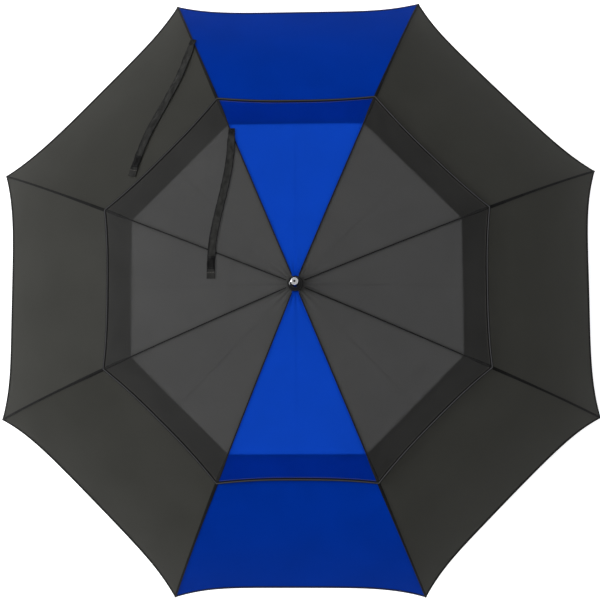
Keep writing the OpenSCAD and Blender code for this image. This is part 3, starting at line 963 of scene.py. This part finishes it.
def make_seams(k):
    """Rib k's seams: one on the upper canopy and one on each stretch of the lower one."""
    rib, rib_end = f"rib_{k}", f"rib_end_{k}"
    near_hem, near_rim = VENT_HEM - 0.01, CLOTH_END - 0.01
    seam_strip(f"vent_seam_{k}", k, 0.006, VENT_HEM, over_vent, vent_width, rib, VENT_SEAM_PAINTED_SHADE)
    seam_stitches(f"vent_seam_stitches_{k}", k, 0.02, near_hem, over_vent, 0.0011, rib)
    seam_strip(f"lower_seam_{k}", k, VENT_OPENING, BREAK_AT, over_lower, lower_width, rib)
    seam_strip(f"lower_seam_end_{k}", k, BREAK_AT, CLOTH_END, over_lower, lower_width, rib_end)
    seam_stitches(f"lower_seam_stitches_{k}", k, BREAK_AT, near_rim, over_lower, 0.0018, rib_end)


# ---------------------------------------------------------------- ties that bind the canopy to the ribs
# (distance along the rib, how high the thread passes over the cloth)
TIES = ((0.11, 0.0028), (0.22, 0.0028), (0.40, 0.0026), (0.53, 0.0026), (0.64, 0.0026))
TIE_STEPS = 48
STEPS_PER_TURN = 12
TIE_WIDTH = 0.0026
TIE_CREST = 0.9


def make_ties(k):
    """Thread wound round a rib where the canopy is tied to it."""
    for s, lift in TIES:
        radius, body = (0.0022, f"rib_{k}") if s < BREAK_AT else (0.0020, f"rib_end_{k}")
        centre_x, centre_z = rib_reach(s)
        tilt = slope(s)
        line = []
        for i in range(TIE_STEPS + 1):
            turn = i / STEPS_PER_TURN * 2 * math.pi
            along = (i / TIE_STEPS - 0.5) * TIE_WIDTH
            up = radius * math.cos(turn)
            if up > radius * TIE_CREST:
                up = lift
            x = centre_x + along * math.cos(tilt) + up * math.sin(tilt)
            z = centre_z - along * math.sin(tilt) + up * math.cos(tilt)
            line.append(turned(x, radius * math.sin(turn), z, rib_angle(k)))
        name = f"rib_tie_{k}_{round(s * 1000)}"
        tie = along_line(name, line, PIPING, THREAD_DARK, Radius=0.0003, Sides=5)
        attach(tie, body)


# ---------------------------------------------------------------- pieces carried over from the CAD
def loose_pieces(cad_name):
    """Copies of the CAD node's separate solids, largest first."""
    source = frame["nodes"][cad_name]
    shape = bmesh.new()
    shape.from_mesh(source.data)
    bmesh.ops.remove_doubles(shape, verts=shape.verts, dist=1e-6)
    shape.verts.ensure_lookup_table()
    seen, groups = set(), []
    for first in shape.verts:
        if first.index in seen:
            continue
        stack, group = [first], []
        seen.add(first.index)
        while stack:
            vert = stack.pop()
            group.append(vert)
            for edge in vert.link_edges:
                other = edge.other_vert(vert)
                if other.index not in seen:
                    seen.add(other.index)
                    stack.append(other)
        groups.append(group)
    meshes = []
    for group in sorted(groups, key=len, reverse=True):
        inside = set(group)
        order = {vert: i for i, vert in enumerate(group)}
        faces = {face for vert in group for face in vert.link_faces if set(face.verts) <= inside}
        mesh = bpy.data.meshes.new(cad_name)
        mesh.from_pydata(
            [vert.co.copy() for vert in group],
            [],
            [[order[v] for v in face.verts] for face in sorted(faces, key=lambda f: f.index)],
        )
        meshes.append(mesh)
    shape.free()
    return meshes


def soften(made, width):
    """Rounds the hard edges and keeps flats flat."""
    if width:
        bevel = made.modifiers.new("edges", "BEVEL")
        bevel.width = width
        bevel.segments = 2
        bevel.limit_method = "ANGLE"
        bevel.angle_limit = BEVEL_ANGLE
        bake_modifiers(made)
    shade_smoothly(made.data)
    made.data.set_sharp_from_angle(angle=PART_CRISP)


def dress(cad_name, body, material, slot, bevel, label="piece"):
    """Stands for a CAD node with softened copies of its solids."""
    for i, mesh in enumerate(loose_pieces(cad_name)):
        made = place_mesh(f"{cad_name}_{label}_{i}", mesh, material)
        soften(made, bevel)
        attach(made, body)
        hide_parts(cad_name)


# CAD node, body, material, material slot, width of its rounded edges
FITTINGS = (
    ("top_notch", "stick", HUB_PLASTIC, "hub_plastic", 0.0004),
    ("runner", "runner", HUB_PLASTIC, "hub_plastic", 0.0004),
    ("runner_button", "button", BUTTON_PLASTIC, "button_plastic", 0.0002),
    ("crown_cap", "stick", BLACK_GLOSS, "black_gloss", 0.0003),
    ("ferrule", "stick", BLACK_GLOSS, "black_gloss", 0.0004),
    ("ferrule_tip", "stick", SILVER, "polished_metal", 0.00012),
    ("grip_collar", "stick", SATIN_METAL, "satin_metal", 0.0003),
    ("grip_end_cap", "stick", HUB_PLASTIC, "hub_plastic", 0.0004),
    ("crown_washer", "stick", HUB_PLASTIC, "hub_plastic", 0.0002),
    ("shaft", "stick", FIBREGLASS, "fibreglass", 0),
    ("catch_sleeves", "stick", SATIN_METAL, "satin_metal", 0.0001),
    ("grip_core", "stick", HUB_PLASTIC, "hub_plastic", 0),
    ("notch_ring", "stick", STEEL, "steel", 0),
    ("runner_ring", "runner", STEEL, "steel", 0),
    ("button_spring", "runner", STEEL, "steel", 0),
)
ROD_BEVEL = 0.00025


def make_frame():
    """The ribs, stretchers, hubs, shaft and handle fittings."""
    for k in RIBS:
        for part in ("rib", "rib_end", "stretcher"):
            dress(f"{part}_{k}", f"{part}_{k}", FIBREGLASS, "fibreglass", ROD_BEVEL, "rod")
    for fitting in FITTINGS:
        dress(*fitting)


def make_tip_socket():
    """The dark plug in the hole of the ferrule's end, with a dished face."""
    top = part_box("ferrule_tip")[1][2]
    dish = ((0.0004, -0.0022), (0.0012, -0.0018), (0.00185, -0.0012), (0.00214, -0.0008), (0.00214, -0.0048))
    profile = [(r, top + z) for r, z in dish]
    plug = lathe("ferrule_tip_plug", profile, around=32, closed=False, material=BLACK_GLOSS)
    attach(plug, "stick")


GRIP_STEPS = 150
GRIP_TRIM = 0.0006
GRIP_SWELL = 0.0004
GRIP_END = 0.006
GRIP_ROUNDING = 0.0030
CORE_GAP = 0.0002
GROOVES = 12
GROOVES_FROM = 0.2
GROOVES_TO = 0.8
GROOVES_SPAN = 0.6
GROOVE_DEPTH = 0.0007
GROOVE_POWER = 6


def make_grip():
    """The foam grip: a slight swell in its middle, rounded ends and rows of shallow finger grooves."""
    low, high = (Vector(corner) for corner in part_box("grip"))
    radius = (high.x - low.x) / 2
    length = high.z - low.z
    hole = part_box("grip_core")[1][0] + CORE_GAP
    profile = [(hole, low.z)]
    for i in range(GRIP_STEPS + 1):
        t = i / GRIP_STEPS
        end = min(t, 1 - t) * length
        r = radius - GRIP_TRIM - GRIP_SWELL * math.cos(2 * math.pi * t)
        if end < GRIP_END:
            r -= GRIP_ROUNDING * (1 - math.sqrt(max(0, 1 - (1 - end / GRIP_END) ** 2)))
        if GROOVES_FROM < t < GROOVES_TO:
            wave = math.cos((t - GROOVES_FROM) / GROOVES_SPAN * 2 * math.pi * GROOVES)
            r -= GROOVE_DEPTH * max(0, wave) ** GROOVE_POWER
        profile.append((r, low.z + length * t))
    profile.append((hole, high.z))
    grip = lathe("foam_grip", profile, around=72, closed=True, material=GRIP_FOAM)
    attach(grip, "stick")
    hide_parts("grip")


# ---------------------------------------------------------------- tie straps
STRAP_RIB = 3
STRAP_WIDTH = 0.0158
STRAP_STEPS = 130
SIDE_COLUMNS = 5
LAST_COLUMN = 2 * SIDE_COLUMNS
SEWN_FLAT = 0.0004
STRAP_EDGE_UP = 0.0003
STRAP_EDGE_THICK = 0.0015
STRAP_STITCH_UP = 0.0002
STRAP_THREAD = 0.0003
STRAP_SLOT = "strap_webbing"

# part, material, height above the cloth, its start and end as shares of the strap's length,
# its width as a share of the strap's, thickness
STRAP_LAYERS = (
    ("tape", STRAP_BLACK, 0.0019, 0.0, 1.0, 1.0, 0.0010),
    ("hook_patch", HOOK_PATCH, 0.0029, 0.865, 0.945, 0.84, 0.0012),
    ("end_hem", STRAP_BLACK, 0.0027, 0.960, 1.0, 1.0, 0.0010),
    ("sewn_end", HEM_BLACK, 0.0030, 0.0, 0.045, 1.12, 0.0018),
)
# name, the part it is sewn through, which of its rows, thread, material slot
CROSSWISE_STITCHES = (
    ("hem", "end_hem", 1, THREAD_GREY, "trim_grey"),
    ("patch_low", "hook_patch", 1, THREAD_DARK, "thread_dark"),
    ("patch_high", "hook_patch", -2, THREAD_DARK, "thread_dark"),
)


def place_at(reach):
    """The distance along a rib at which it is reach from the shaft's axis."""
    low, high = 0.0, RIB_LENGTH
    for _ in range(40):
        middle = (low + high) / 2
        if rib_reach(middle)[0] < reach:
            low = middle
        else:
            high = middle
    return (low + high) / 2


def on_cloth(azimuth, reach, surface, up):
    """A point up above a canopy, at an azimuth counted from the strap's rib and a reach from the axis."""
    gore = STRAP_RIB + math.floor(azimuth / GORE_STEP)
    a = azimuth - (gore - STRAP_RIB) * GORE_STEP
    s = place_at(reach * math.cos(HALF_GORE - a) / math.cos(HALF_GORE))
    return surface((gore - 1) % GORES + 1, a, s, up)


def strap_line(start, end, bow):
    """Points from start to end in the strap rib's frame, in a slight S-curve."""
    start, end = Vector(start), Vector(end)
    run = end - start
    aside = Vector((-run.y, run.x)).normalized()
    shares = [i / STRAP_STEPS for i in range(STRAP_STEPS + 1)]
    return [start + run * t + aside * bow * math.sin(2 * math.pi * t) for t in shares]


def strap_wrinkle(t, u, seed):
    """Uneven cross creases, and an edge that curls down a little."""
    least, height, fine_share, edge_curl = 0.0013, 0.0019, 0.55, 0.0005
    broad = noise.noise(Vector((t * 19, u * 0.9, seed)))
    fine = noise.noise(Vector((t * 52, u * 1.6, seed + 4)))
    return least + height * (broad + fine_share * fine) - edge_curl * abs(u) ** 4


def strap_half_width(t):
    """Gathered where it is sewn, and full width from there on."""
    gathered, let_out, let_out_by = 0.70, 0.30, 0.10
    return STRAP_WIDTH / 2 * (gathered + let_out * smooth(t / let_out_by))


def strap_rows(line, surface, up, seed, start, end, wide):
    """Rows of points across the strap, from share start to share end of its line."""
    rows = []
    last = len(line) - 1
    for i in range(int(start * last), int(end * last) + 1):
        ahead = line[min(i + 1, last)] - line[max(i - 1, 0)]
        aside = Vector((-ahead.y, ahead.x)).normalized()
        t = i / last
        half = strap_half_width(t) * wide
        loose = smooth((t - 0.03) / 0.05) * smooth((0.99 - t) / 0.05)
        row = []
        for j in range(LAST_COLUMN + 1):
            u = (j - SIDE_COLUMNS) / SIDE_COLUMNS
            p = line[i] + aside * (u * half)
            lift = up + strap_wrinkle(t, u * wide, seed) * loose + SEWN_FLAT * (1 - loose)
            row.append(on_cloth(math.atan2(p.y, p.x), p.length, surface, lift))
        rows.append(row)
    return rows


def raised(points, up):
    """The same points, a little higher."""
    return [p + Vector((0, 0, up)) for p in points]


def make_strap(tag, start, end, bow, surface, zone, seed):
    """A tie strap sewn beside its rib's seam, with a bar-tacked end, a hook patch and a sewn hem."""
    line = strap_line(start, end, bow)
    name = f"tie_strap_{tag}"
    rows = {}
    pieces = []
    for part, material, up, first, last, wide, thick in STRAP_LAYERS:
        rows[part] = strap_rows(line, surface, up, seed, first, last, wide)
        pieces.append((grid_sheet(f"{name}_{part}", rows[part], material, thick), STRAP_SLOT))
    tape, tack = rows["tape"], rows["sewn_end"]
    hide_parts(name)
    for side, column in (("a", 0), ("b", LAST_COLUMN - 1)):
        rolled = [raised(row[column : column + 2], STRAP_EDGE_UP) for row in tape]
        pieces.append((grid_sheet(f"{name}_edge_{side}", rolled, HEM_BLACK, STRAP_EDGE_THICK), STRAP_SLOT))
    for column in (1, LAST_COLUMN - 1):
        sewn = raised([row[column] for row in tape[4:-3]], STRAP_STITCH_UP)
        sizes = {"Pitch": 0.0034, "Stitch": 0.0024, "Thread": STRAP_THREAD}
        thread = along_line(f"{name}_edge_stitches_{column}", sewn, STITCHES, THREAD_DARK, **sizes)
        pieces.append((thread, "thread_dark"))
    for label, part, at, material, slot in CROSSWISE_STITCHES:
        sewn = raised(rows[part][at][1:-1], STRAP_STITCH_UP)
        sizes = {"Pitch": 0.0028, "Stitch": 0.002, "Thread": STRAP_THREAD}
        thread = along_line(f"{name}_stitches_{label}", sewn, STITCHES, material, **sizes)
        pieces.append((thread, slot))
    corners = [tack[0][1], tack[-1][1], tack[-1][-2], tack[0][-2], tack[0][1], tack[-1][-2]]
    box = []
    for a, b in zip(corners, corners[1:]):
        box += raised([a.lerp(b, i / 6) for i in range(6)], STRAP_EDGE_UP)
    sizes = {"Pitch": 0.0026, "Stitch": 0.002, "Thread": STRAP_THREAD}
    thread = along_line(f"{name}_cross_stitch", box, STITCHES, THREAD_DARK, **sizes)
    pieces.append((thread, "thread_dark"))
    fasten_trim(zone, STRAP_RIB, 1, pieces)


# ---------------------------------------------------------------- build
make_frame()
make_tip_socket()
make_grip()
for gore_number in RIBS:
    make_vent_gore(gore_number)
    make_lower_gore(gore_number)
    make_rim_hem(gore_number)
    make_vent_hem(gore_number)
    make_opening_hem(gore_number)
for rib_number in RIBS:
    make_seams(rib_number)
    make_ties(rib_number)
make_strap(
    "outer",
    start=(0.568, -0.003),
    end=(0.336, 0.217),
    bow=0.006,
    surface=lower_point,
    zone=OUTER_STRAP_ZONE,
    seed=1.3,
)
make_strap(
    "vent",
    start=(0.337, -0.004),
    end=(0.074, 0.144),
    bow=0.005,
    surface=vent_point,
    zone=VENT_STRAP_ZONE,
    seed=7.1,
)


# ---------------------------------------------------------------- studio
FLOOR_GAP = 0.0005
FLOOR_HALF = 30.0


def make_floor(height):
    """A wide pale floor that glows a little, like a light table."""
    material, tree = new_material("pale_floor")
    place = node(tree, "ShaderNodeTexCoord")
    mottle = node(tree, "ShaderNodeTexNoise", Scale=0.7)
    tree.links.new(place.outputs["Object"], mottle.inputs["Vector"])
    shader = node(
        tree, "ShaderNodeBsdfPrincipled", Roughness=0.9, Emission_Color=(1, 1, 1, 1), Emission_Strength=0.62
    )
    shade = tinted(tree, mottle.outputs["Fac"], grey(0.93), grey(0.95))
    tree.links.new(shade, shader.inputs["Base Color"])
    finish_material(tree, shader.outputs[0])
    mesh = bpy.data.meshes.new("floor")
    corners = ((-1, -1), (1, -1), (1, 1), (-1, 1))
    mesh.from_pydata([(x * FLOOR_HALF, y * FLOOR_HALF, height) for x, y in corners], [], [(0, 1, 2, 3)])
    paint(mesh, material)
    add_object("floor", mesh)


def area_light(name, place, aim, size, power):
    """A round soft light at a place, turned toward a point."""
    light = bpy.data.lights.new(name, "AREA")
    light.shape = "DISK"
    light.size = size
    light.energy = power
    made = add_object(name, light)
    direction = Vector(aim) - Vector(place)
    made.matrix_world = Matrix.Translation(place) @ direction.to_track_quat("-Z", "Y").to_matrix().to_4x4()


def make_studio():
    """Floor, white surroundings and one key light."""
    make_floor(cad_box[0][2] - FLOOR_GAP)
    world = bpy.data.worlds.new("studio")
    world.use_nodes = True
    background = world.node_tree.nodes["Background"]
    background.inputs["Color"].default_value = (1, 1, 1, 1)
    background.inputs["Strength"].default_value = 0.5
    bpy.context.scene.world = world
    bpy.context.scene.view_settings.view_transform = "Standard"
    area_light("key_from_left", place=(-4.6, 0.7, 4.3), aim=(0, 0, 0.75), size=2.6, power=300)


def make_camera():
    """Nearly straight above the crown, looking down."""
    camera = bpy.data.cameras.new("camera")
    camera.sensor_width = 36
    camera.lens = 63.1
    camera.clip_end = 100
    made = add_object("camera", camera)
    made.location = (0.055, -0.1735, 2.8746)
    made.rotation_euler = [math.radians(t) for t in (4.141, 1.364, -0.249)]
    bpy.context.scene.camera = made


make_studio()
make_camera()
